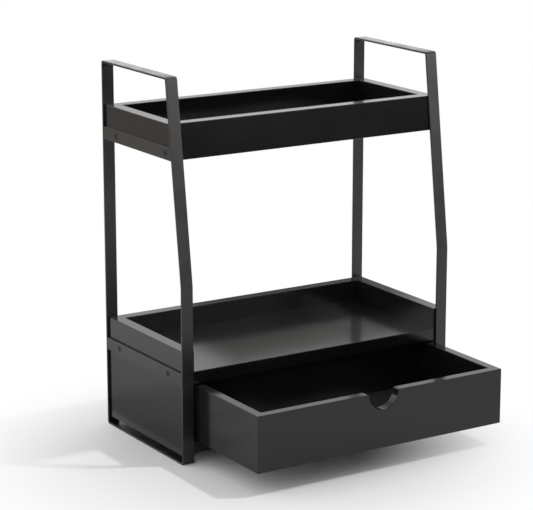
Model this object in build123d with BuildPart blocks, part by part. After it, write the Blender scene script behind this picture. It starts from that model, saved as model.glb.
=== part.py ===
# Two-tier counter organizer. Two side frames bent from flat bar carry an open upper tray and a base
# with a low shelf and a drawer, which stands part of the way out. Lengths are in millimetres. +X is
# the organizer's right-hand side, -Y its front and +Z is up. The origin lies on the counter, under the
# middle of the outline.
from build123d import *
import os
from math import atan, cos, sin

os.makedirs("parts", exist_ok=True)

# Whole stand
stand_width = 300.0
stand_depth = 148.0
stand_height = 359.0

# Side frames: loops of flat bar whose front legs lean back above a bend
bar_width = 12.0
bar_thickness = 2.0
bar_edge_share = 0.2
bend_inner_radius = 1.0
bend_height = 170.0
top_depth = 123.0

# Straps welded between the legs of a frame
strap_height = 12.0
strap_thickness = 2.0
strap_edge_share = 0.15

# Boards of the tray and the base, and the room left between them and the legs
panel_thickness = 12.0
panel_ease_share = 0.05
frame_gap = 0.2

# Upper tray, hung below the top bars by the height of the handle gap
tray_height = 33.0
handle_drop = 42.0

# Base: its bottom board is set up a little between the sides
base_lift = 7.5
bottom_rise = 2.0
bay_height = 54.8
shelf_lip = 20.2

# Drawer, drawn out until only its rear end is still held in the base
drawer_hold = 21.1
drawer_wall = 9.0
drawer_ease_share = 0.06
drawer_side_gap = 0.5
drawer_top_gap = 1.0
drawer_back_gap = 1.0
drawer_running_gap = 0.3
notch_radius = 16.5
notch_shoulder_radius = 1.5

# Drawer bottom, held in a groove in the four walls
drawer_bottom_thickness = 3.0
groove_depth = 4.0
groove_height = 5.0
groove_gap = 0.1

# Countersunk screws through a strap and a side into the end of a level board, set in from the strap's ends
screw_rear_inset = 25.0
upper_screw_front_inset = 9.1
lower_screw_front_inset = 25.0
screw_radius = 2.0
screw_head_radius = 3.2
screw_length = 35.0
screw_point_length = 3.0
screw_cross_length = 3.4
screw_cross_width = 0.8
screw_cross_depth = 0.9
screw_gap = 0.1
screw_head_angle = 90

# Fluted dowels between boards, sunk into one board's face and the other board's edge
dowel_flutes = 12
panel_dowel_radius = 3.0
panel_dowel_length = 24.0
drawer_dowel_radius = 2.5
drawer_dowel_length = 20.0
dowel_face_share = 0.65
dowel_chamfer_share = 0.25
dowel_gap = 0.05
dowel_end_gap = 0.5
tray_dowel_shares = (-0.6, 0.0, 0.6)
back_dowel_shares = (0.14, 0.5, 0.9)
bottom_dowel_shares = (0.25, 0.7)
drawer_dowel_shares = (0.35, 0.75)

# Heights of the boards
bottom_underside = base_lift + bottom_rise
bay_bottom = bottom_underside + panel_thickness
bay_top = bay_bottom + bay_height
shelf_top = bay_top + panel_thickness
base_top = shelf_top + shelf_lip
tray_top = stand_height - handle_drop
tray_underside = tray_top - tray_height
tray_floor_top = tray_underside + panel_thickness
drawer_underside = bay_bottom + drawer_running_gap
drawer_top = bay_top - drawer_top_gap
drawer_height = drawer_top - drawer_underside

# Places across the width
half_width = stand_width / 2
panel_outer_x = half_width - strap_thickness
panel_inner_x = panel_outer_x - panel_thickness
leg_inner_x = half_width - bar_width
drawer_outer_x = min(panel_inner_x, leg_inner_x) - drawer_side_gap
drawer_inner_x = drawer_outer_x - drawer_wall

# Places along the depth, from the outline's middle
leg_reach = bar_thickness + frame_gap
box_depth = stand_depth - 2 * leg_reach
drawer_length = box_depth - panel_thickness - drawer_back_gap
drawer_draw = drawer_length - drawer_hold
outline_depth = stand_depth + drawer_draw - leg_reach
rear_face = outline_depth / 2
front_face = rear_face - stand_depth
box_rear = rear_face - leg_reach
box_front = front_face + leg_reach
back_inner_y = box_rear - panel_thickness
drawer_front_y = box_front - drawer_draw
drawer_back_y = drawer_front_y + drawer_length
drawer_front_inner_y = drawer_front_y + drawer_wall
drawer_back_inner_y = drawer_back_y - drawer_wall

# Rounded and eased edges
bar_edge = bar_edge_share * bar_thickness
strap_edge = strap_edge_share * strap_thickness
panel_ease = panel_ease_share * panel_thickness
drawer_ease = drawer_ease_share * drawer_wall

# Lean of the front legs, which the front of the upper tray follows
lean = atan((stand_depth - top_depth) / (stand_height - bend_height))

sides = (("left", -1), ("right", 1))


def lean_y(height, behind):
    """Depth of the plane that lies behind the leaning leg's front face, at a height."""
    lowest_y = front_face + (height - bend_height) * sin(lean) / cos(lean)
    return lowest_y + behind / cos(lean)


def leg_back_y(height):
    """Depth of a front leg's back face, above or below its bend."""
    return max(front_face + bar_thickness, lean_y(height, bar_thickness))


def save(piece, name):
    """Labels a finished piece and writes it to its own file."""
    piece.part.label = name
    export_step(piece.part, f"parts/{name}.step")


def cut_down(*joints):
    """Keeps what lies on the upper side of each joint plane of the piece being made."""
    for joint in joints:
        split(bisect_by=joint, keep=Keep.TOP)


def ease(block, radius):
    """Rounds every outward edge of the block being made."""
    fillet(block.edges().filter_by(lambda edge: edge.is_interior, reverse=True), radius)


def bore(places, radius, sunk, length):
    """Cuts a dowel's hole at each place, from below its plane to above it."""
    room = sunk + dowel_end_gap
    deep = length + 2 * dowel_end_gap
    with Locations(*[place.offset(-room) for place in places]):
        Cylinder(
            radius + dowel_gap,
            deep,
            align=(Align.CENTER, Align.CENTER, Align.MIN),
            mode=Mode.SUBTRACT,
        )


def make_dowel(radius, length, sunk):
    """One dowel along +Z, sunk below the plane where two boards meet."""
    with BuildPart() as dowel:
        with BuildSketch(Plane.XY.offset(-sunk)):
            RegularPolygon(radius, dowel_flutes)
        extrude(amount=length)
        chamfer(dowel.edges().filter_by(Axis.Z, reverse=True), dowel_chamfer_share * radius)
    return dowel.part


# Straps run between the legs at the height of a level board, with two screws each
tray_floor_middle = tray_underside + panel_thickness / 2
shelf_middle = bay_top + panel_thickness / 2
strap_middles = {"upper": tray_floor_middle, "lower": shelf_middle}
screw_front_insets = {"upper": upper_screw_front_inset, "lower": lower_screw_front_inset}
strap_rear = rear_face - bar_thickness


def screw_places(sign, tier):
    """Planes on a strap's outer face, where its screw heads lie flush."""
    height = strap_middles[tier]
    rows = (strap_rear - screw_rear_inset, leg_back_y(height) + screw_front_insets[tier])
    return [
        Plane(origin=(sign * half_width, row, height), x_dir=(0, 1, 0), z_dir=(sign, 0, 0))
        for row in rows
    ]


# Side frames
frame_outline = (
    (rear_face, 0),
    (rear_face, stand_height),
    (rear_face - top_depth, stand_height),
    (front_face, bend_height),
    (front_face, 0),
)
for side, sign in sides:
    with BuildPart() as side_frame:
        with BuildSketch(Plane.YZ.offset(sign * half_width)) as loop:
            with BuildLine():
                Polyline(*frame_outline, close=True)
            make_face()
            fillet(loop.vertices(), bend_inner_radius + bar_thickness)
            offset(amount=-bar_thickness, mode=Mode.SUBTRACT)
        extrude(amount=-sign * bar_width)
        fillet(side_frame.edges().filter_by(Axis.X, reverse=True), bar_edge)
    save(side_frame, f"{side}_side_frame")

# Straps, each cut to fit between the legs, with two countersunk holes
for side, sign in sides:
    for tier, middle in strap_middles.items():
        strap_bottom = middle - strap_height / 2
        strap_top = middle + strap_height / 2
        with BuildPart() as strap:
            with BuildSketch(Plane.YZ.offset(sign * half_width)):
                with BuildLine():
                    Polyline(
                        (strap_rear, strap_bottom),
                        (strap_rear, strap_top),
                        (leg_back_y(strap_top), strap_top),
                        (leg_back_y(strap_bottom), strap_bottom),
                        close=True,
                    )
                make_face()
            extrude(amount=-sign * strap_thickness)
            outer_face = strap.faces().sort_by(Axis.X)[-1 if sign > 0 else 0]
            fillet(outer_face.edges().filter_by(Axis.Y), strap_edge)
            with Locations(*screw_places(sign, tier)):
                CounterSinkHole(
                    screw_radius + screw_gap,
                    screw_head_radius + screw_gap,
                    counter_sink_angle=screw_head_angle,
                )
        save(strap, f"{side}_{tier}_strap")

# One countersunk screw, its head level with the plane and its point below
screw_head_depth = screw_head_radius - screw_radius
with BuildPart() as strap_screw:
    with BuildSketch(Plane.XZ):
        with BuildLine():
            Polyline(
                (0, 0),
                (screw_head_radius, 0),
                (screw_radius, -screw_head_depth),
                (screw_radius, screw_point_length - screw_length),
                (0, -screw_length),
                close=True,
            )
        make_face()
    revolve(axis=Axis.Z)
    with BuildSketch():
        Rectangle(screw_cross_length, screw_cross_width)
        Rectangle(screw_cross_width, screw_cross_length)
    extrude(amount=-screw_cross_depth, mode=Mode.SUBTRACT)

for side, sign in sides:
    for tier in strap_middles:
        with BuildPart() as strap_screws:
            with Locations(*screw_places(sign, tier)):
                add(strap_screw.part)
        save(strap_screws, f"{side}_{tier}_strap_screws")

# Dowels of the tray and the base
panel_dowel_sunk = dowel_face_share * panel_thickness
panel_dowel = make_dowel(panel_dowel_radius, panel_dowel_length, panel_dowel_sunk)


def bore_panel(places):
    """Cuts the holes of panel dowels in the board being made."""
    bore(places, panel_dowel_radius, panel_dowel_sunk, panel_dowel_length)


def bore_screws(tier):
    """Cuts the holes of a tier's screws in the ends of the board being made."""
    for side, sign in sides:
        with Locations(*screw_places(sign, tier)):
            Hole(screw_radius + screw_gap, screw_length + dowel_end_gap)


def side_joint(sign):
    """Plane where a side meets the boards between the sides, with the inside above it."""
    return Plane(origin=(sign * panel_inner_x, 0, 0), z_dir=(-sign, 0, 0))


# Upper tray, shaped as one block with eased edges and then divided along its joints
tray_front_behind = leg_reach
tray_inner_behind = leg_reach + panel_thickness
with BuildPart() as tray_block:
    with BuildSketch(Plane.YZ.offset(-panel_outer_x)):
        with BuildLine():
            Polyline(
                (box_rear, tray_underside),
                (box_rear, tray_top),
                (lean_y(tray_top, tray_front_behind), tray_top),
                (lean_y(tray_underside, tray_front_behind), tray_underside),
                close=True,
            )
        make_face()
    extrude(amount=2 * panel_outer_x)
    with BuildSketch(Plane.YZ.offset(-panel_inner_x)):
        with BuildLine():
            Polyline(
                (back_inner_y, tray_floor_top),
                (back_inner_y, tray_top),
                (lean_y(tray_top, tray_inner_behind), tray_top),
                (lean_y(tray_floor_top, tray_inner_behind), tray_floor_top),
                close=True,
            )
        make_face()
    extrude(amount=2 * panel_inner_x, mode=Mode.SUBTRACT)
    ease(tray_block, panel_ease)

tray_lip_middle = (tray_floor_top + tray_top) / 2
tray_front_middle_behind = leg_reach + panel_thickness / 2
tray_wall_rows = (lean_y(tray_lip_middle, tray_front_middle_behind), box_rear - panel_thickness / 2)
tray_end_places = [
    Plane(origin=(sign * panel_inner_x, row, tray_lip_middle), z_dir=(-sign, 0, 0))
    for side, sign in sides
    for row in tray_wall_rows
]
tray_floor_front_y = lean_y(tray_floor_middle, tray_inner_behind)
tray_floor_places = []
for share in tray_dowel_shares:
    place_x = share * panel_inner_x
    front_place = Plane(origin=(place_x, tray_floor_front_y, tray_floor_middle), z_dir=(0, 1, 0))
    back_place = Plane(origin=(place_x, back_inner_y, tray_floor_middle), z_dir=(0, -1, 0))
    tray_floor_places += [front_place, back_place]

for side, sign in sides:
    with BuildPart() as tray_end:
        add(tray_block.part)
        cut_down(-side_joint(sign))
        bore_panel(tray_end_places)
        with Locations(*screw_places(sign, "upper")):
            Hole(screw_radius + screw_gap)
    save(tray_end, f"upper_tray_{side}_end")

between_sides = (side_joint(-1), side_joint(1))
front_joint = Plane(origin=(0, tray_floor_front_y, tray_floor_middle), z_dir=(0, -cos(lean), sin(lean)))
back_joint = Plane(origin=(0, back_inner_y, 0), z_dir=(0, 1, 0))

with BuildPart() as upper_tray_front:
    add(tray_block.part)
    cut_down(*between_sides, front_joint)
    bore_panel(tray_end_places + tray_floor_places)
    bore_screws("upper")
save(upper_tray_front, "upper_tray_front")

with BuildPart() as upper_tray_back:
    add(tray_block.part)
    cut_down(*between_sides, back_joint)
    bore_panel(tray_end_places + tray_floor_places)
save(upper_tray_back, "upper_tray_back")

with BuildPart() as upper_tray_floor:
    add(tray_block.part)
    cut_down(*between_sides, -front_joint, -back_joint)
    bore_panel(tray_floor_places)
    bore_screws("upper")
save(upper_tray_floor, "upper_tray_floor")

with BuildPart() as upper_tray_dowels:
    with Locations(*tray_end_places, *tray_floor_places):
        add(panel_dowel)
save(upper_tray_dowels, "upper_tray_dowels")

# Base, shaped as one block open to the front and then divided along its joints
hollow_size = (2 * panel_inner_x, back_inner_y - box_front)
with BuildPart() as base_block:
    with BuildSketch(Plane.XY.offset(base_lift)):
        with Locations((0, box_front)):
            Rectangle(2 * panel_outer_x, box_depth, align=(Align.CENTER, Align.MIN))
    extrude(amount=base_top - base_lift)
    for hollow_bottom, hollow_top in ((bay_bottom, bay_top), (shelf_top, base_top)):
        with BuildSketch(Plane.XY.offset(hollow_bottom)):
            with Locations((0, box_front)):
                Rectangle(*hollow_size, align=(Align.CENTER, Align.MIN))
        extrude(amount=hollow_top - hollow_bottom, mode=Mode.SUBTRACT)
    ease(base_block, panel_ease)
    with BuildSketch(Plane.XY.offset(base_lift)):
        with Locations((0, box_front)):
            Rectangle(*hollow_size, align=(Align.CENTER, Align.MIN))
    extrude(amount=bottom_rise, mode=Mode.SUBTRACT)

base_back_middle_y = back_inner_y + panel_thickness / 2
bottom_middle = bottom_underside + panel_thickness / 2
base_back_places = [
    Plane(
        origin=(sign * panel_inner_x, base_back_middle_y, base_lift + share * (base_top - base_lift)),
        z_dir=(-sign, 0, 0),
    )
    for side, sign in sides
    for share in back_dowel_shares
]
base_bottom_places = [
    Plane(
        origin=(sign * panel_inner_x, box_front + share * box_depth, bottom_middle),
        z_dir=(-sign, 0, 0),
    )
    for side, sign in sides
    for share in bottom_dowel_shares
]
base_level_places = [
    Plane(origin=(share * panel_inner_x, back_inner_y, height), z_dir=(0, -1, 0))
    for height in (bottom_middle, shelf_middle)
    for share in tray_dowel_shares
]
base_places = base_back_places + base_bottom_places + base_level_places

for side, sign in sides:
    with BuildPart() as base_side:
        add(base_block.part)
        cut_down(-side_joint(sign))
        bore_panel(base_back_places + base_bottom_places)
        with Locations(*screw_places(sign, "lower")):
            Hole(screw_radius + screw_gap)
    save(base_side, f"base_{side}_side")

bay_joint = Plane.XY.offset((bay_bottom + bay_top) / 2)

with BuildPart() as base_back:
    add(base_block.part)
    cut_down(*between_sides, back_joint)
    bore_panel(base_back_places + base_level_places)
save(base_back, "base_back")

with BuildPart() as base_shelf:
    add(base_block.part)
    cut_down(*between_sides, -back_joint, bay_joint)
    bore_panel(base_level_places)
    bore_screws("lower")
save(base_shelf, "base_shelf")

with BuildPart() as base_bottom:
    add(base_block.part)
    cut_down(*between_sides, -back_joint, -bay_joint)
    bore_panel(base_bottom_places + base_level_places)
save(base_bottom, "base_bottom")

with BuildPart() as base_dowels:
    with Locations(*base_places):
        add(panel_dowel)
save(base_dowels, "base_dowels")

# Drawer, shaped as one open box with a half-round finger notch and then divided along its joints
with BuildPart() as drawer_block:
    with BuildSketch(Plane.XY.offset(drawer_underside)):
        with Locations((0, drawer_front_y)):
            Rectangle(2 * drawer_outer_x, drawer_length, align=(Align.CENTER, Align.MIN))
        with Locations((0, drawer_front_inner_y)):
            Rectangle(
                2 * drawer_inner_x,
                drawer_back_inner_y - drawer_front_inner_y,
                align=(Align.CENTER, Align.MIN),
                mode=Mode.SUBTRACT,
            )
    extrude(amount=drawer_height)
    notch_middle = (0, drawer_front_y, drawer_top)
    with BuildSketch(Plane(origin=notch_middle, x_dir=(1, 0, 0), z_dir=(0, -1, 0))):
        Circle(notch_radius)
    extrude(amount=-drawer_wall, mode=Mode.SUBTRACT)
    shoulders = drawer_block.edges().filter_by(Axis.Y).sort_by_distance(notch_middle)[:2]
    fillet(shoulders, notch_shoulder_radius)
    ease(drawer_block, drawer_ease)

drawer_dowel_sunk = dowel_face_share * drawer_wall
drawer_dowel = make_dowel(drawer_dowel_radius, drawer_dowel_length, drawer_dowel_sunk)
drawer_side_middle_x = drawer_outer_x - drawer_wall / 2
drawer_back_middle_y = drawer_back_y - drawer_wall / 2
drawer_dowel_heights = [drawer_underside + share * drawer_height for share in drawer_dowel_shares]
drawer_front_places = [
    Plane(origin=(sign * drawer_side_middle_x, drawer_front_inner_y, height), z_dir=(0, 1, 0))
    for side, sign in sides
    for height in drawer_dowel_heights
]
drawer_back_places = [
    Plane(origin=(sign * drawer_inner_x, drawer_back_middle_y, height), z_dir=(-sign, 0, 0))
    for side, sign in sides
    for height in drawer_dowel_heights
]


def bore_drawer(places):
    """Cuts the holes of drawer dowels in the wall being made."""
    bore(places, drawer_dowel_radius, drawer_dowel_sunk, drawer_dowel_length)


# The drawer bottom, which reaches into the grooves, and the room that the grooves give it
bottom_board_x = drawer_inner_x + groove_depth - groove_gap
bottom_board_y = drawer_back_inner_y - drawer_front_inner_y + 2 * (groove_depth - groove_gap)
bottom_board_z = drawer_underside + groove_height
drawer_middle_y = (drawer_front_y + drawer_back_y) / 2

with BuildPart() as drawer_bottom:
    with BuildSketch(Plane.XY.offset(bottom_board_z)):
        with Locations((0, drawer_middle_y)):
            Rectangle(2 * bottom_board_x, bottom_board_y)
    extrude(amount=drawer_bottom_thickness)
save(drawer_bottom, "drawer_bottom")

with BuildPart() as groove_room:
    with BuildSketch(Plane.XY.offset(bottom_board_z - groove_gap)):
        with Locations((0, drawer_middle_y)):
            Rectangle(2 * (bottom_board_x + groove_gap), bottom_board_y + 2 * groove_gap)
    extrude(amount=drawer_bottom_thickness + 2 * groove_gap)


def drawer_joint(sign):
    """Plane of a drawer side's inner face, with the inside of the drawer above it."""
    return Plane(origin=(sign * drawer_inner_x, 0, 0), z_dir=(-sign, 0, 0))


drawer_front_joint = Plane(origin=(0, drawer_front_inner_y, 0), z_dir=(0, 1, 0))
drawer_half_joint = Plane(origin=(0, drawer_middle_y, 0), z_dir=(0, 1, 0))

with BuildPart() as drawer_front:
    add(drawer_block.part)
    cut_down(-drawer_front_joint)
    bore_drawer(drawer_front_places)
    add(groove_room.part, mode=Mode.SUBTRACT)
save(drawer_front, "drawer_front")

for side, sign in sides:
    with BuildPart() as drawer_side:
        add(drawer_block.part)
        cut_down(drawer_front_joint, -drawer_joint(sign))
        bore_drawer(drawer_front_places + drawer_back_places)
        add(groove_room.part, mode=Mode.SUBTRACT)
    save(drawer_side, f"drawer_{side}_side")

with BuildPart() as drawer_back:
    add(drawer_block.part)
    cut_down(drawer_half_joint, drawer_joint(-1), drawer_joint(1))
    bore_drawer(drawer_back_places)
    add(groove_room.part, mode=Mode.SUBTRACT)
save(drawer_back, "drawer_back")

with BuildPart() as drawer_dowels:
    with Locations(*drawer_front_places, *drawer_back_places):
        add(drawer_dowel)
save(drawer_dowels, "drawer_dowels")
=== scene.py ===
"""Finishes and studio stage of a two-tier counter organizer with a drawer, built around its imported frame."""

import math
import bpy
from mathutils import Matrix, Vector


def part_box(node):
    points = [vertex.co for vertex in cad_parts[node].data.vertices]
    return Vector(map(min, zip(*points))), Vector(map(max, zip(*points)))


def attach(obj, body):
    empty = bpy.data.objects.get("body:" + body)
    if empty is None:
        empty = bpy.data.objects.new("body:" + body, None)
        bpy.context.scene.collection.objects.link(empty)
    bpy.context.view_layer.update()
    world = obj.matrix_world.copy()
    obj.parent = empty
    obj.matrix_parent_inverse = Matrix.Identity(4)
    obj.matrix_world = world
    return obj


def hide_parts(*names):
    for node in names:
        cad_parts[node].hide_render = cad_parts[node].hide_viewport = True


bl_info = {
    "name": "Counter organizer",
    "version": (1, 0, 0),
    "blender": (4, 5, 0),
    "location": "View3D > Sidebar > Organizer",
    "description": "Finishes the boards, bars, screws and dowels of a counter organizer and sets its stage",
    "category": "Object",
}

import bmesh
import bpy
from bpy.props import FloatProperty, FloatVectorProperty, PointerProperty
from mathutils import Euler, Vector

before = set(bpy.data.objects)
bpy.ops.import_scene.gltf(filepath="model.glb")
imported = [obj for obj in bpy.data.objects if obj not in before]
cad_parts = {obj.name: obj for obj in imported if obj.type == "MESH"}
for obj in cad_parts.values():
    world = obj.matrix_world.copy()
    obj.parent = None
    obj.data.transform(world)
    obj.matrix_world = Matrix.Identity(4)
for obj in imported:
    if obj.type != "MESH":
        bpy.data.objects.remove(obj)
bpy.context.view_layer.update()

SIDES = ("left", "right")
TIERS = ("upper", "lower")
QUARTER_TURN = math.pi / 2
EIGHTH_TURN = math.pi / 4
SMALLEST_SINE = 1e-6

# Strap screws: flat rows at the head, rows in a turn of thread, and the recess's middle against its arms
HEAD_ROWS = 3
THREAD_ROWS = 5
RECESS_MIDDLE = 1.2

# Widths of the marks in the finishes, in metres
LACQUER_CLOUD = 0.05
LACQUER_WAVE = 0.03
POWDER_CLOUD = 0.02
# Patches that break up the worn edges and their painted highlight
WEAR_AND_HIGHLIGHT_PATCH = 0.012
OXIDE_PATCH = 0.0015
OXIDE_GRIT = 0.0004
HARDBOARD_FIBRE = 0.0012

# Heights of the relief in the finishes, in metres
PEEL_HEIGHT = 0.00003
WAVE_HEIGHT = 0.0001
PEBBLE_HEIGHT = 0.00004
GRIT_HEIGHT = 0.00002
GRAIN_HEIGHT = 0.0001
FIBRE_HEIGHT = 0.00006

# Darkest and lightest tone of each finish, and the tone of its edges, which are rubbed and painted lighter as
# a highlight, as shares of its colour
LACQUER_TONES = (0.85, 1.2)
LACQUER_WEAR_AND_HIGHLIGHT_TONE = 2.2
POWDER_TONES = (0.85, 1.2)
POWDER_WEAR_AND_HIGHLIGHT_TONE = 2.5
OXIDE_TONES = (0.7, 1.6)
BEECH_TONES = (0.7, 1.15)
HARDBOARD_TONES = (0.8, 1.5)

# Roughness of the finishes: its unevenness, what rubbed edges lose of it, or its lowest and highest value
LACQUER_UNEVEN = 0.015
LACQUER_POLISH = 0.06
POWDER_UNEVEN = 0.04
POWDER_POLISH = 0.08
OXIDE_ROUGHNESS = (0.32, 0.48)
BEECH_ROUGHNESS = (0.55, 0.7)
HARDBOARD_ROUGHNESS = (0.5, 0.62)
CARD_ROUGHNESS = 0.9

# Share of metal that shows through the black oxide
OXIDE_METAL = 0.7

# Worn edges with a painted highlight: cosines of the turn at such an edge and on a plain face, rays that look
# for it, and shares left
WEAR_AND_HIGHLIGHT_TURN = 0.72
FACE_TURN = 0.97
WEAR_AND_HIGHLIGHT_RAYS = 6
WEAR_AND_HIGHLIGHT_SHARES = (0.15, 1.0)

# Part of a noise's range that holds most of its values, and a narrower one that makes clear patches
NOISE_RANGE = (0.3, 0.7)
PATCH_RANGE = (0.35, 0.65)

# Directions between which the surroundings change their brightness, as parts of a length of one
FRONT_TO_BACK = (-0.5, 0.7)
LEVEL_TO_TOP = (0.25, 0.9)
LEFT_TO_MIDDLE = (-0.7, 0.0)

# Round floor, and the name under which a card's corners keep their tones
FLOOR_SIDES = 96
FLOOR_MIDDLE = (0.0, 0.0, 0.0)
CARD_TONE = "tone"

# Cards that only reflections show: the middle of the foot, the foot, the rise, and the tones at foot and top
CARDS = {
    "front_card": {
        "middle": (0.8, -1.3, 0.01),
        "foot": (1.363, 0.839, 0.0),
        "rise": (0.0, 0.0, 0.85),
        "foot_tone": (0.03, 0.03, 0.03),
        "top_tone": (0.03, 0.03, 0.03),
    },
    "side_card": {
        "middle": (-0.66, 0.87, 0.01),
        "foot": (0.956, 0.725, 0.0),
        "rise": (0.0, 0.0, 0.35),
        "foot_tone": (0.56, 0.5, 0.43),
        "top_tone": (0.56, 0.5, 0.43),
    },
    "shelf_card": {
        "middle": (0.06, 0.2, 0.1),
        "foot": (0.275, 0.0, 0.0),
        "rise": (0.12, 0.0, 0.067),
        "foot_tone": (0.5, 0.48, 0.45),
        "top_tone": (0.5, 0.48, 0.45),
    },
    # The left mat is darker at its foot by the organizer: a painted shadow of the organizer on the floor, seen
    # in reflections
    "left_mat": {
        "middle": (-0.165, 0.15, 0.002),
        "foot": (0.0, 0.6, 0.0),
        "rise": (-0.175, 0.275, 0.0),
        "foot_tone": (0.5, 0.5, 0.48),
        "top_tone": (0.95, 0.95, 0.94),
    },
}


# Settings that a user would change


class OrganizerFinish(bpy.types.PropertyGroup):
    """Colours and surface grain of the organizer's materials"""

    board_colour: FloatVectorProperty(
        name="Board colour",
        description="Black of the lacquer on the boards",
        subtype="COLOR",
        min=0.0,
        max=1.0,
        default=(0.006, 0.0059, 0.0057),
    )
    board_roughness: FloatProperty(
        name="Board roughness",
        description="Satin of the lacquer on the boards",
        subtype="FACTOR",
        min=0.0,
        max=1.0,
        default=0.165,
    )
    board_gloss: FloatProperty(
        name="Board gloss",
        description="Refractive index of the lacquer, which sets how strongly it mirrors",
        min=1.0,
        max=3.0,
        default=1.42,
    )
    peel_size: FloatProperty(
        name="Orange peel",
        description="Width of the ripples that the spray leaves in the lacquer",
        unit="LENGTH",
        default=0.0016,
    )
    bar_colour: FloatVectorProperty(
        name="Bar colour",
        description="Black of the powder coat on the frames and straps",
        subtype="COLOR",
        min=0.0,
        max=1.0,
        default=(0.003, 0.003, 0.0031),
    )
    bar_roughness: FloatProperty(
        name="Bar roughness",
        description="Satin of the powder coat on the frames and straps",
        subtype="FACTOR",
        min=0.0,
        max=1.0,
        default=0.36,
    )
    bar_gloss: FloatProperty(
        name="Bar gloss",
        description="Refractive index of the powder coat, which sets how strongly it mirrors",
        min=1.0,
        max=3.0,
        default=1.55,
    )
    pebble_size: FloatProperty(
        name="Powder grain",
        description="Width of the pebbles in the powder coat",
        unit="LENGTH",
        default=0.0005,
    )
    screw_colour: FloatVectorProperty(
        name="Screw colour",
        description="Black oxide on the strap screws",
        subtype="COLOR",
        min=0.0,
        max=1.0,
        default=(0.015, 0.015, 0.016),
    )
    dowel_colour: FloatVectorProperty(
        name="Dowel colour",
        description="Bare wood of the dowels",
        subtype="COLOR",
        min=0.0,
        max=1.0,
        default=(0.56, 0.38, 0.21),
    )
    grain_length: FloatProperty(
        name="Wood grain",
        description="Length of the streaks in the bare wood",
        unit="LENGTH",
        default=0.006,
    )
    # The strip is also painted lighter in colour, a painted highlight along the edges, besides its polish
    wear_and_highlight_width: FloatProperty(
        name="Edge wear",
        description="Width of the strip along an edge that handling has polished",
        unit="LENGTH",
        default=0.0012,
    )


class OrganizerScrews(bpy.types.PropertyGroup):
    """Shape of the countersunk screws in the straps"""

    head_radius: FloatProperty(
        name="Head radius",
        description="Radius of the packed head, which fills its countersink",
        unit="LENGTH",
        default=0.0032,
    )
    head_rim: FloatProperty(
        name="Head rim",
        description="Height of the head's rim, and the gap round it in the countersink",
        unit="LENGTH",
        default=0.00008,
    )
    thread_radius: FloatProperty(
        name="Thread radius",
        description="Radius over the crest of the thread",
        unit="LENGTH",
        default=0.002,
    )
    thread_depth: FloatProperty(
        name="Thread depth",
        description="Depth of the thread's groove",
        unit="LENGTH",
        default=0.00045,
    )
    thread_pitch: FloatProperty(
        name="Thread pitch",
        description="Advance of the thread in one turn",
        unit="LENGTH",
        default=0.002,
    )
    point_length: FloatProperty(
        name="Point length",
        description="Length of the tapered point",
        unit="LENGTH",
        default=0.003,
    )
    cross_length: FloatProperty(
        name="Cross length",
        description="Length of the cross recess over two arms",
        unit="LENGTH",
        default=0.0034,
    )
    cross_width: FloatProperty(
        name="Cross width",
        description="Width of an arm of the cross recess",
        unit="LENGTH",
        default=0.0008,
    )
    cross_depth: FloatProperty(
        name="Cross depth",
        description="Depth of the cross recess at its arms",
        unit="LENGTH",
        default=0.0012,
    )
    cross_taper: FloatProperty(
        name="Cross taper",
        description="Size of the cross recess at its bottom, as a share of its size at the face",
        subtype="FACTOR",
        min=0.0,
        max=1.0,
        default=0.5,
    )


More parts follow.
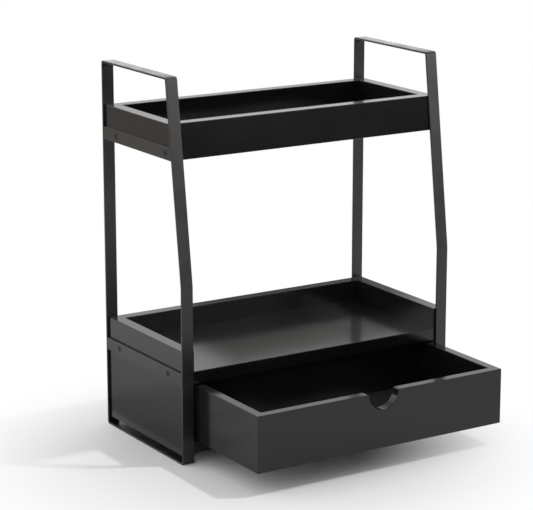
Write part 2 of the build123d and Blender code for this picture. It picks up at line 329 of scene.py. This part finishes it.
class OrganizerStage(bpy.types.PropertyGroup):
    """Floor, light and camera of the studio"""

    floor_radius: FloatProperty(
        name="Floor radius",
        description="Reach of the floor round the organizer",
        unit="LENGTH",
        default=6.0,
    )
    floor_colour: FloatVectorProperty(
        name="Floor colour",
        description="Pale floor that the organizer stands on",
        subtype="COLOR",
        min=0.0,
        max=1.0,
        default=(0.83, 0.83, 0.83),
    )
    shadow_place: FloatVectorProperty(
        name="Shadow place",
        description="Middle of the part of the floor that shows shadows",
        subtype="TRANSLATION",
        unit="LENGTH",
        default=(-0.08, -0.025, 0.0),
    )
    shadow_radius: FloatProperty(
        name="Shadow radius",
        description="Where the floor starts to fade into the white surroundings",
        unit="LENGTH",
        default=0.095,
    )
    white_radius: FloatProperty(
        name="White radius",
        description="Where the floor has become plain white",
        unit="LENGTH",
        default=0.315,
    )
    back_level: FloatProperty(
        name="Back light",
        description="Brightness of the surroundings behind the organizer",
        default=1.35,
    )
    front_level: FloatProperty(
        name="Front light",
        description="Brightness of the surroundings in front of the organizer",
        default=0.62,
    )
    left_share: FloatProperty(
        name="Left light",
        description="Brightness of the surroundings at the left, against the right",
        default=2.4,
    )
    top_level: FloatProperty(
        name="Top light",
        description="Brightness of the surroundings above the organizer",
        default=0.48,
    )
    key_strength: FloatProperty(
        name="Key light",
        description="Strength of the light that casts the shadows",
        default=0.82,
    )
    key_spread: FloatProperty(
        name="Key spread",
        description="Angle that the key light covers in the sky, which softens its shadows",
        subtype="ANGLE",
        default=math.radians(3.0),
    )
    key_elevation: FloatProperty(
        name="Key elevation",
        description="Height of the key light above the floor",
        subtype="ANGLE",
        default=math.radians(63.5),
    )
    key_azimuth: FloatProperty(
        name="Key azimuth",
        description="Turn of the key light from straight in front towards the right",
        subtype="ANGLE",
        default=math.radians(63.0),
    )
    fill_power: FloatProperty(
        name="Fill light",
        description="Power of the soft light in front",
        unit="POWER",
        default=21.5,
    )
    fill_size: FloatVectorProperty(
        name="Fill size",
        description="Width and height of the soft light in front",
        size=2,
        unit="LENGTH",
        default=(0.9, 0.25),
    )
    fill_place: FloatVectorProperty(
        name="Fill place",
        description="Middle of the soft light in front",
        subtype="TRANSLATION",
        unit="LENGTH",
        default=(1.33, -1.96, 0.95),
    )
    fill_target: FloatVectorProperty(
        name="Fill target",
        description="Point that the soft light in front faces",
        subtype="TRANSLATION",
        unit="LENGTH",
        default=(0.0, 0.0, 0.25),
    )
    handle_power: FloatProperty(
        name="Handle light",
        description="Power of the small strip of light behind the handles",
        unit="POWER",
        default=0.075,
    )
    handle_size: FloatVectorProperty(
        name="Handle light size",
        description="Width and height of the strip behind the handles",
        size=2,
        unit="LENGTH",
        default=(0.42, 0.034),
    )
    handle_place: FloatVectorProperty(
        name="Handle light place",
        description="Middle of the strip of light behind the handles",
        subtype="TRANSLATION",
        unit="LENGTH",
        default=(0.07, 0.185, 0.385),
    )
    handle_target: FloatVectorProperty(
        name="Handle light target",
        description="Point that the strip behind the handles faces",
        subtype="TRANSLATION",
        unit="LENGTH",
        default=(0.07, 0.06, 0.36),
    )
    wide_power: FloatProperty(
        name="Wide light",
        description="Power of the wide light above, which lifts the shadows",
        unit="POWER",
        default=7.5,
    )
    wide_size: FloatVectorProperty(
        name="Wide light size",
        description="Width and depth of the wide light above",
        size=2,
        unit="LENGTH",
        default=(2.0, 2.0),
    )
    wide_place: FloatVectorProperty(
        name="Wide light place",
        description="Middle of the wide light above",
        subtype="TRANSLATION",
        unit="LENGTH",
        default=(0.0, 0.0, 2.5),
    )
    camera_target: FloatVectorProperty(
        name="Camera target",
        description="Point that the camera looks at",
        subtype="TRANSLATION",
        unit="LENGTH",
        default=(-0.0337, 0.0201, 0.1772),
    )
    camera_distance: FloatProperty(
        name="Camera distance",
        description="From the camera to its target",
        unit="LENGTH",
        default=2.0235,
    )
    camera_azimuth: FloatProperty(
        name="Camera azimuth",
        description="Turn of the camera from straight in front towards the left",
        subtype="ANGLE",
        default=math.radians(32.11),
    )
    camera_elevation: FloatProperty(
        name="Camera elevation",
        description="Height of the camera above the level of its target",
        subtype="ANGLE",
        default=math.radians(13.98),
    )
    lens: FloatProperty(
        name="Lens",
        description="Focal length on a 36 mm wide sensor, in mm",
        subtype="DISTANCE_CAMERA",
        default=144.12,
    )


# Shader helpers


def new_material(name):
    """A material and its node tree, which starts empty."""
    material = bpy.data.materials.new(name)
    material.use_nodes = True
    tree = material.node_tree
    tree.nodes.clear()
    return material, tree


def node(tree, kind, values=None, **settings):
    """A shader node with its settings, and its sockets set to plain values or joined to other sockets."""
    made = tree.nodes.new(kind)
    for key, value in settings.items():
        setattr(made, key, value)
    for socket, value in (values or {}).items():
        if isinstance(value, bpy.types.NodeSocket):
            tree.links.new(value, made.inputs[socket])
        else:
            made.inputs[socket].default_value = value
    return made


def noise(tree, width, detail=2.0, stretch=(1.0, 1.0, 1.0)):
    """Noise whose features are about as wide as stated, in metres, in the object's own place."""
    place = node(tree, "ShaderNodeTexCoord").outputs["Object"]
    placed = node(tree, "ShaderNodeMapping", {"Vector": place, "Scale": stretch}).outputs["Vector"]
    texture = node(tree, "ShaderNodeTexNoise", {"Vector": placed, "Scale": 1.0 / width, "Detail": detail})
    return texture.outputs["Fac"]


def spread(tree, value, levels, between=NOISE_RANGE, easing="LINEAR"):
    """A value mapped from the range between two values onto the range between two levels."""
    start, end = between
    low, high = levels
    mapped = node(
        tree,
        "ShaderNodeMapRange",
        {"Value": value, "From Min": start, "From Max": end, "To Min": low, "To Max": high},
        interpolation_type=easing,
    )
    return mapped.outputs["Result"]


def maths(tree, operation, *terms):
    """The result of an operation on terms, which are plain values or sockets."""
    return node(tree, "ShaderNodeMath", dict(enumerate(terms)), operation=operation).outputs["Value"]


def measure(tree, operation, first, second):
    """The number that an operation makes of two vectors."""
    return node(tree, "ShaderNodeVectorMath", {0: first, 1: second}, operation=operation).outputs["Value"]


def mix(tree, share, ground, colour):
    """A colour that turns from a ground tone into another tone by a share."""
    mixed = node(tree, "ShaderNodeMix", {"Factor": share, "A": ground, "B": colour}, data_type="RGBA")
    return mixed.outputs["Result"]


def bumps(tree, value, strength, height, normal=None):
    """Small relief from a noise value, its height in metres, on top of any other relief."""
    relief = node(tree, "ShaderNodeBump", {"Height": value, "Strength": strength, "Distance": height})
    if normal is not None:
        tree.links.new(normal, relief.inputs["Normal"])
    return relief.outputs["Normal"]


def surface(tree, values):
    """A principled surface with its sockets' values, joined to the material's output."""
    shader = node(tree, "ShaderNodeBsdfPrincipled", values)
    node(tree, "ShaderNodeOutputMaterial", {"Surface": shader.outputs["BSDF"]})


def shade(colour, share):
    """A solid colour made lighter or darker by a share."""
    return (*(min(1.0, channel * share) for channel in colour), 1.0)


def mottled(tree, pattern, colour, tones):
    """A colour that varies with a pattern between its darkest and its lightest tone."""
    darkest, lightest = tones
    return mix(tree, pattern, shade(colour, darkest), shade(colour, lightest))


# Materials


def wear_and_highlight_share(tree, width):
    """1 along the edges of a piece and 0 on its faces, broken up by noise; it marks worn edges and a painted
    highlight.
    """
    rounded = node(tree, "ShaderNodeBevel", {"Radius": width}, samples=WEAR_AND_HIGHLIGHT_RAYS).outputs["Normal"]
    plain = node(tree, "ShaderNodeNewGeometry").outputs["True Normal"]
    strip = spread(tree, measure(tree, "DOT_PRODUCT", rounded, plain), (1.0, 0.0), (WEAR_AND_HIGHLIGHT_TURN, FACE_TURN))
    patches = spread(tree, noise(tree, WEAR_AND_HIGHLIGHT_PATCH, detail=4.0), WEAR_AND_HIGHLIGHT_SHARES, PATCH_RANGE)
    return maths(tree, "MULTIPLY", strip, patches)


def black_lacquer(finish):
    """Satin black lacquer: spray ripples, clouded gloss, an uneven black and polished edges with a painted
    highlight.
    """
    material, tree = new_material("black_lacquer")
    colour = finish.board_colour
    cloud = noise(tree, LACQUER_CLOUD, detail=4.0)
    edge = wear_and_highlight_share(tree, finish.wear_and_highlight_width)
    body = mottled(tree, cloud, colour, LACQUER_TONES)
    satin_levels = (finish.board_roughness - LACQUER_UNEVEN, finish.board_roughness + LACQUER_UNEVEN)
    satin = spread(tree, cloud, satin_levels)
    ripple = bumps(tree, noise(tree, finish.peel_size), strength=0.25, height=PEEL_HEIGHT)
    wave = noise(tree, LACQUER_WAVE, detail=1.0)
    surface(
        tree,
        {
            # Edges lighter in colour: partly wear, partly a painted highlight
            "Base Color": mix(tree, edge, body, shade(colour, LACQUER_WEAR_AND_HIGHLIGHT_TONE)),
            "Roughness": maths(tree, "MULTIPLY_ADD", edge, -LACQUER_POLISH, satin),
            "IOR": finish.board_gloss,
            "Normal": bumps(tree, wave, strength=0.06, height=WAVE_HEIGHT, normal=ripple),
        },
    )
    return material


def powder_coat(finish):
    """Satin black powder coat: fine pebbles over softly clouded gloss, rubbed along the edges and painted
    lighter there as a highlight.
    """
    material, tree = new_material("powder_coat")
    colour = finish.bar_colour
    cloud = noise(tree, POWDER_CLOUD, detail=3.0)
    edge = wear_and_highlight_share(tree, finish.wear_and_highlight_width)
    body = mottled(tree, cloud, colour, POWDER_TONES)
    satin_levels = (finish.bar_roughness - POWDER_UNEVEN, finish.bar_roughness + POWDER_UNEVEN)
    satin = spread(tree, cloud, satin_levels)
    pebbles = noise(tree, finish.pebble_size, detail=1.0)
    surface(
        tree,
        {
            # Edges lighter in colour: partly wear, partly a painted highlight
            "Base Color": mix(tree, edge, body, shade(colour, POWDER_WEAR_AND_HIGHLIGHT_TONE)),
            "Roughness": maths(tree, "MULTIPLY_ADD", edge, -POWDER_POLISH, satin),
            "IOR": finish.bar_gloss,
            "Normal": bumps(tree, pebbles, strength=0.3, height=PEBBLE_HEIGHT),
        },
    )
    return material


def blackened_steel(finish):
    """Blackened screw steel: dark oxide with paler rubbed patches."""
    material, tree = new_material("blackened_steel")
    patch = noise(tree, OXIDE_PATCH, detail=4.0)
    grit = noise(tree, OXIDE_GRIT)
    surface(
        tree,
        {
            "Base Color": mottled(tree, patch, finish.screw_colour, OXIDE_TONES),
            "Metallic": OXIDE_METAL,
            "Roughness": spread(tree, patch, OXIDE_ROUGHNESS),
            "Normal": bumps(tree, grit, strength=0.2, height=GRIT_HEIGHT),
        },
    )
    return material


def beech(finish):
    """Bare wood of the dowels: short darker flecks in a pale ground."""
    material, tree = new_material("beech")
    streak = noise(tree, finish.grain_length, detail=5.0, stretch=(1.0, 1.0, 4.0))
    fleck = spread(tree, streak, (0.0, 1.0))
    surface(
        tree,
        {
            "Base Color": mottled(tree, fleck, finish.dowel_colour, BEECH_TONES),
            "Roughness": spread(tree, streak, BEECH_ROUGHNESS),
            "Normal": bumps(tree, streak, strength=0.3, height=GRAIN_HEIGHT),
        },
    )
    return material


def black_hardboard(finish):
    """Black hardboard of the drawer's bottom: duller than the lacquer, with a felted fibre."""
    material, tree = new_material("black_hardboard")
    fibre = noise(tree, HARDBOARD_FIBRE, detail=6.0, stretch=(0.5, 1.0, 1.0))
    surface(
        tree,
        {
            "Base Color": mottled(tree, fibre, finish.board_colour, HARDBOARD_TONES),
            "Roughness": spread(tree, fibre, HARDBOARD_ROUGHNESS),
            "Normal": bumps(tree, fibre, strength=0.3, height=FIBRE_HEIGHT),
        },
    )
    return material


def white_floor(stage):
    """Pale floor that keeps the shadows near the organizer and fades into plain white further out."""
    material, tree = new_material("white_floor")
    ray = node(tree, "ShaderNodeLightPath").outputs
    seen = maths(tree, "MAXIMUM", ray["Is Camera Ray"], ray["Is Glossy Ray"])
    seen = maths(tree, "MAXIMUM", seen, ray["Is Transmission Ray"])
    place = node(tree, "ShaderNodeNewGeometry").outputs["Position"]
    reach = measure(tree, "DISTANCE", place, tuple(stage.shadow_place))
    far = spread(tree, reach, (0.0, 1.0), (stage.shadow_radius, stage.white_radius), easing="SMOOTHSTEP")
    matte = node(tree, "ShaderNodeBsdfDiffuse", {"Color": (*stage.floor_colour, 1.0)})
    white = node(tree, "ShaderNodeEmission")
    share = maths(tree, "MULTIPLY", far, seen)
    mixed = node(
        tree,
        "ShaderNodeMixShader",
        {0: share, 1: matte.outputs["BSDF"], 2: white.outputs["Emission"]},
    )
    node(tree, "ShaderNodeOutputMaterial", {"Surface": mixed.outputs["Shader"]})
    return material


def dull_card():
    """Dull card that shades a part of the studio in reflections, in the tones stored at its corners."""
    material, tree = new_material("dull_card")
    tone = node(tree, "ShaderNodeVertexColor", layer_name=CARD_TONE).outputs["Color"]
    surface(tree, {"Base Color": tone, "Roughness": CARD_ROUGHNESS})
    return material


# Pieces


def paint(names, material):
    """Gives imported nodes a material."""
    for name in names:
        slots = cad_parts[name].material_slots
        if not slots:
            raise RuntimeError(f"{name} has no material slot to finish")
        for slot in slots:
            slot.material = material


def mesh_object(name, shape, material):
    """An object in the scene with one material, made from a bmesh, which is freed."""
    mesh = bpy.data.meshes.new(name)
    shape.to_mesh(mesh)
    shape.free()
    mesh.materials.append(material)
    made = bpy.data.objects.new(name, mesh)
    bpy.context.scene.collection.objects.link(made)
    return made


def cross_reach(angle, screws):
    """Distance from a screw's axis to the edge of its cross recess, in a direction."""
    turned = abs((angle + EIGHTH_TURN) % QUARTER_TURN - EIGHTH_TURN)
    along = screws.cross_length / 2 / math.cos(turned)
    across = screws.cross_width / 2 / max(math.sin(turned), SMALLEST_SINE)
    return min(along, across)


def screw_angles(screws):
    """Directions round a screw, with one at each corner of its cross recess."""
    corner = math.atan(screws.cross_width / screws.cross_length)
    middle = (corner + EIGHTH_TURN) / 2
    quarter = (0.0, corner, middle, EIGHTH_TURN, QUARTER_TURN - middle, QUARTER_TURN - corner)
    return [turn * QUARTER_TURN + angle for turn in range(4) for angle in quarter]


def screw_rings(screws, angles, length):
    """Rings of a screw from the bottom of its recess to its point, each a depth and its radii."""
    cross = [cross_reach(angle, screws) for angle in angles]
    shank = screws.thread_radius
    core = shank - screws.thread_depth
    neck = screws.head_radius - shank
    face = [screws.head_radius - screws.head_rim] * len(angles)
    rings = [
        (screws.cross_depth, [reach * screws.cross_taper for reach in cross]),
        (0.0, cross),
        (0.0, face),
        (screws.head_rim, face),
        (neck, [shank] * len(angles)),
    ]
    step = screws.thread_pitch / THREAD_ROWS
    rows = int((length - screws.point_length - neck) / step)
    for row in range(1, rows + 1):
        depth = neck + row * step
        fade = min(1.0, row / THREAD_ROWS, (rows - row) / THREAD_ROWS)
        radii = []
        for angle in angles:
            crest = 0.5 + 0.5 * math.cos(math.tau * depth / screws.thread_pitch - angle)
            radii.append(core + screws.thread_depth * fade * crest)
        rings.append((depth, radii))
    return rings


def add_screw(shape, place, inward, screws, length):
    """Adds one countersunk screw to a bmesh: its head lies flush at a place and its axis runs along X."""
    angles = screw_angles(screws)
    loops = []
    for depth, radii in screw_rings(screws, angles, length):
        loop = []
        for angle, radius in zip(angles, radii):
            offset = Vector((inward * depth, radius * math.cos(angle), inward * radius * math.sin(angle)))
            loop.append(shape.verts.new(place + offset))
        loops.append(loop)
    count = len(angles)
    for row, (outer, inner) in enumerate(zip(loops, loops[1:])):
        for this in range(count):
            after = (this + 1) % count
            face = shape.faces.new((outer[this], outer[after], inner[after], inner[this]))
            face.smooth = row >= HEAD_ROWS
    recess = shape.verts.new(place + Vector((inward * screws.cross_depth * RECESS_MIDDLE, 0.0, 0.0)))
    point = shape.verts.new(place + Vector((inward * length, 0.0, 0.0)))
    for this in range(count):
        after = (this + 1) % count
        shape.faces.new((loops[0][after], loops[0][this], recess))
        shape.faces.new((loops[-1][this], loops[-1][after], point)).smooth = True


def build_screws(node_name, side, screws, material):
    """The two screws of a strap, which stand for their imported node."""
    low, high = (Vector(corner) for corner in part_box(node_name))
    inward = 1.0 if side == "left" else -1.0
    face_x = low.x if side == "left" else high.x
    screw_z = (low.z + high.z) / 2
    shape = bmesh.new()
    for screw_y in (low.y + screws.head_radius, high.y - screws.head_radius):
        add_screw(shape, Vector((face_x, screw_y, screw_z)), inward, screws, high.x - low.x)
    bmesh.ops.recalc_face_normals(shape, faces=shape.faces)
    piece = mesh_object(f"{node_name}_threaded", shape, material)
    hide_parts(node_name)
    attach(piece, "stand")


class ORGANIZER_OT_side_frames(bpy.types.Operator):
    """Powder coats the two bent side frames and their straps"""

    bl_idname = "organizer.side_frames"
    bl_label = "Side frames and straps"
    bl_options = {"REGISTER", "UNDO"}

    def execute(self, context):
        coat = powder_coat(context.scene.organizer_finish)
        paint([f"{side}_side_frame" for side in SIDES], coat)
        paint([f"{side}_{tier}_strap" for side in SIDES for tier in TIERS], coat)
        return {"FINISHED"}


class ORGANIZER_OT_strap_screws(bpy.types.Operator):
    """Builds the threaded screws that hold the tray and the base to the straps"""

    bl_idname = "organizer.strap_screws"
    bl_label = "Strap screws"
    bl_options = {"REGISTER", "UNDO"}

    def execute(self, context):
        steel = blackened_steel(context.scene.organizer_finish)
        for side in SIDES:
            for tier in TIERS:
                build_screws(f"{side}_{tier}_strap_screws", side, context.scene.organizer_screws, steel)
        return {"FINISHED"}


class ORGANIZER_OT_upper_tray(bpy.types.Operator):
    """Lacquers the boards of the upper tray"""

    bl_idname = "organizer.upper_tray"
    bl_label = "Upper tray"
    bl_options = {"REGISTER", "UNDO"}

    def execute(self, context):
        boards = ("left_end", "right_end", "front", "back", "floor")
        paint([f"upper_tray_{board}" for board in boards], black_lacquer(context.scene.organizer_finish))
        return {"FINISHED"}


class ORGANIZER_OT_base(bpy.types.Operator):
    """Lacquers the boards of the base"""

    bl_idname = "organizer.base"
    bl_label = "Base"
    bl_options = {"REGISTER", "UNDO"}

    def execute(self, context):
        boards = ("left_side", "right_side", "back", "shelf", "bottom")
        paint([f"base_{board}" for board in boards], black_lacquer(context.scene.organizer_finish))
        return {"FINISHED"}


class ORGANIZER_OT_drawer(bpy.types.Operator):
    """Lacquers the walls of the drawer and gives its bottom the look of hardboard"""

    bl_idname = "organizer.drawer"
    bl_label = "Drawer"
    bl_options = {"REGISTER", "UNDO"}

    def execute(self, context):
        finish = context.scene.organizer_finish
        walls = ("left_side", "right_side", "front", "back")
        paint([f"drawer_{wall}" for wall in walls], black_lacquer(finish))
        paint(["drawer_bottom"], black_hardboard(finish))
        return {"FINISHED"}


class ORGANIZER_OT_dowels(bpy.types.Operator):
    """Gives the dowels between the boards their bare wood"""

    bl_idname = "organizer.dowels"
    bl_label = "Dowels"
    bl_options = {"REGISTER", "UNDO"}

    def execute(self, context):
        wood = beech(context.scene.organizer_finish)
        paint([f"{box}_dowels" for box in ("upper_tray", "base", "drawer")], wood)
        return {"FINISHED"}


# Stage


def add_floor(stage):
    """Round floor under the organizer."""
    shape = bmesh.new()
    bmesh.ops.create_circle(shape, cap_ends=True, radius=stage.floor_radius, segments=FLOOR_SIDES)
    floor = mesh_object("floor", shape, white_floor(stage))


def add_card(name, material, middle, foot, rise, foot_tone, top_tone):
    """Card with four straight sides that only reflections show, which fades from one tone to another."""
    start = Vector(middle) - Vector(foot) / 2
    shape = bmesh.new()
    tone = shape.verts.layers.float_color.new(CARD_TONE)
    corners = []
    for along, up in ((0, 0), (1, 0), (1, 1), (0, 1)):
        corner = shape.verts.new(start + along * Vector(foot) + up * Vector(rise))
        corner[tone] = (*(top_tone if up else foot_tone), 1.0)
        corners.append(corner)
    shape.faces.new(corners)
    card = mesh_object(name, shape, material)
    card.visible_camera = False
    card.visible_diffuse = False
    card.visible_shadow = False


def add_lamp(name, kind, power, backward):
    """Lamp that shines against a direction."""
    light = bpy.data.lights.new(name, kind)
    light.energy = power
    lamp = bpy.data.objects.new(name, light)
    lamp.rotation_euler = backward.to_track_quat("Z", "Y").to_euler()
    bpy.context.scene.collection.objects.link(lamp)
    return lamp


def add_key(stage):
    """Light from above, in front and to the right, which casts the shadows."""
    flat = math.cos(stage.key_elevation)
    right = flat * math.sin(stage.key_azimuth)
    forward = flat * math.cos(stage.key_azimuth)
    height = math.sin(stage.key_elevation)
    key = add_lamp("key_light", "SUN", stage.key_strength, Vector((right, -forward, height)))
    key.data.angle = stage.key_spread


def add_softbox(name, power, size, place, target, mirrored=True):
    """Soft rectangular light that faces a point, for the reflections alone or for the dull floor alone."""
    softbox = add_lamp(name, "AREA", power, Vector(place) - Vector(target))
    softbox.location = place
    softbox.data.shape = "RECTANGLE"
    softbox.data.size, softbox.data.size_y = size
    softbox.visible_camera = False
    softbox.visible_diffuse = not mirrored
    softbox.visible_glossy = mirrored


def add_surroundings(stage):
    """World that is brightest behind the organizer and at its left, dimmer in front and dimmest above."""
    world = bpy.data.worlds.new("studio")
    world.use_nodes = True
    tree = world.node_tree
    tree.nodes.clear()
    direction = node(tree, "ShaderNodeTexCoord").outputs["Generated"]
    part = node(tree, "ShaderNodeSeparateXYZ", {"Vector": direction}).outputs
    around_levels = (stage.front_level, stage.back_level)
    around = spread(tree, part["Y"], around_levels, FRONT_TO_BACK, easing="SMOOTHSTEP")
    level = spread(tree, part["Z"], (around, stage.top_level), LEVEL_TO_TOP, easing="SMOOTHSTEP")
    side = spread(tree, part["X"], (stage.left_share, 1.0), LEFT_TO_MIDDLE, easing="SMOOTHSTEP")
    sky = node(tree, "ShaderNodeBackground", {"Strength": maths(tree, "MULTIPLY", level, side)})
    node(tree, "ShaderNodeOutputWorld", {"Surface": sky.outputs["Background"]})
    bpy.context.scene.world = world


def add_camera(stage):
    """Camera at the photograph's angle."""
    lens = bpy.data.cameras.new("camera")
    lens.lens = stage.lens
    camera = bpy.data.objects.new("camera", lens)
    turn = Euler((QUARTER_TURN - stage.camera_elevation, 0.0, -stage.camera_azimuth))
    camera.rotation_euler = turn
    back = turn.to_matrix() @ Vector((0.0, 0.0, 1.0))
    camera.location = Vector(stage.camera_target) + back * stage.camera_distance
    bpy.context.scene.collection.objects.link(camera)
    bpy.context.scene.camera = camera


class ORGANIZER_OT_stage(bpy.types.Operator):
    """Sets the floor, the light and the camera"""

    bl_idname = "organizer.stage"
    bl_label = "Stage"
    bl_options = {"REGISTER", "UNDO"}

    def execute(self, context):
        stage = context.scene.organizer_stage
        add_floor(stage)
        dull = dull_card()
        for name, card in CARDS.items():
            add_card(name, dull, **card)
        add_key(stage)
        add_softbox("fill_light", stage.fill_power, stage.fill_size, stage.fill_place, stage.fill_target)
        add_softbox(
            "handle_light", stage.handle_power, stage.handle_size, stage.handle_place, stage.handle_target
        )
        add_softbox(
            "wide_light", stage.wide_power, stage.wide_size, stage.wide_place, FLOOR_MIDDLE, mirrored=False
        )
        add_surroundings(stage)
        add_camera(stage)
        context.scene.view_settings.view_transform = "Standard"
        return {"FINISHED"}


class ORGANIZER_PT_sidebar(bpy.types.Panel):
    """Lists the organizer's steps and settings"""

    bl_idname = "ORGANIZER_PT_sidebar"
    bl_label = "Counter organizer"
    bl_space_type = "VIEW_3D"
    bl_region_type = "UI"
    bl_category = "Organizer"

    def draw(self, context):
        for operator in OPERATORS:
            self.layout.operator(operator.bl_idname)
        scene = context.scene
        for settings in (scene.organizer_finish, scene.organizer_screws, scene.organizer_stage):
            box = self.layout.box()
            for key in settings.__annotations__:
                box.prop(settings, key)


OPERATORS = (
    ORGANIZER_OT_side_frames,
    ORGANIZER_OT_strap_screws,
    ORGANIZER_OT_upper_tray,
    ORGANIZER_OT_base,
    ORGANIZER_OT_drawer,
    ORGANIZER_OT_dowels,
    ORGANIZER_OT_stage,
)
CLASSES = (OrganizerFinish, OrganizerScrews, OrganizerStage, *OPERATORS, ORGANIZER_PT_sidebar)


def register():
    """Registers the classes and puts the settings on the scene."""
    for made in CLASSES:
        bpy.utils.register_class(made)
    bpy.types.Scene.organizer_finish = PointerProperty(type=OrganizerFinish)
    bpy.types.Scene.organizer_screws = PointerProperty(type=OrganizerScrews)
    bpy.types.Scene.organizer_stage = PointerProperty(type=OrganizerStage)


def unregister():
    """Takes the settings off the scene and unregisters the classes."""
    del bpy.types.Scene.organizer_stage
    del bpy.types.Scene.organizer_screws
    del bpy.types.Scene.organizer_finish
    for made in reversed(CLASSES):
        bpy.utils.unregister_class(made)


def main():
    """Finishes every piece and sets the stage."""
    register()
    bpy.ops.organizer.side_frames()
    bpy.ops.organizer.strap_screws()
    bpy.ops.organizer.upper_tray()
    bpy.ops.organizer.base()
    bpy.ops.organizer.drawer()
    bpy.ops.organizer.dowels()
    bpy.ops.organizer.stage()


if __name__ == "__main__":
    main()
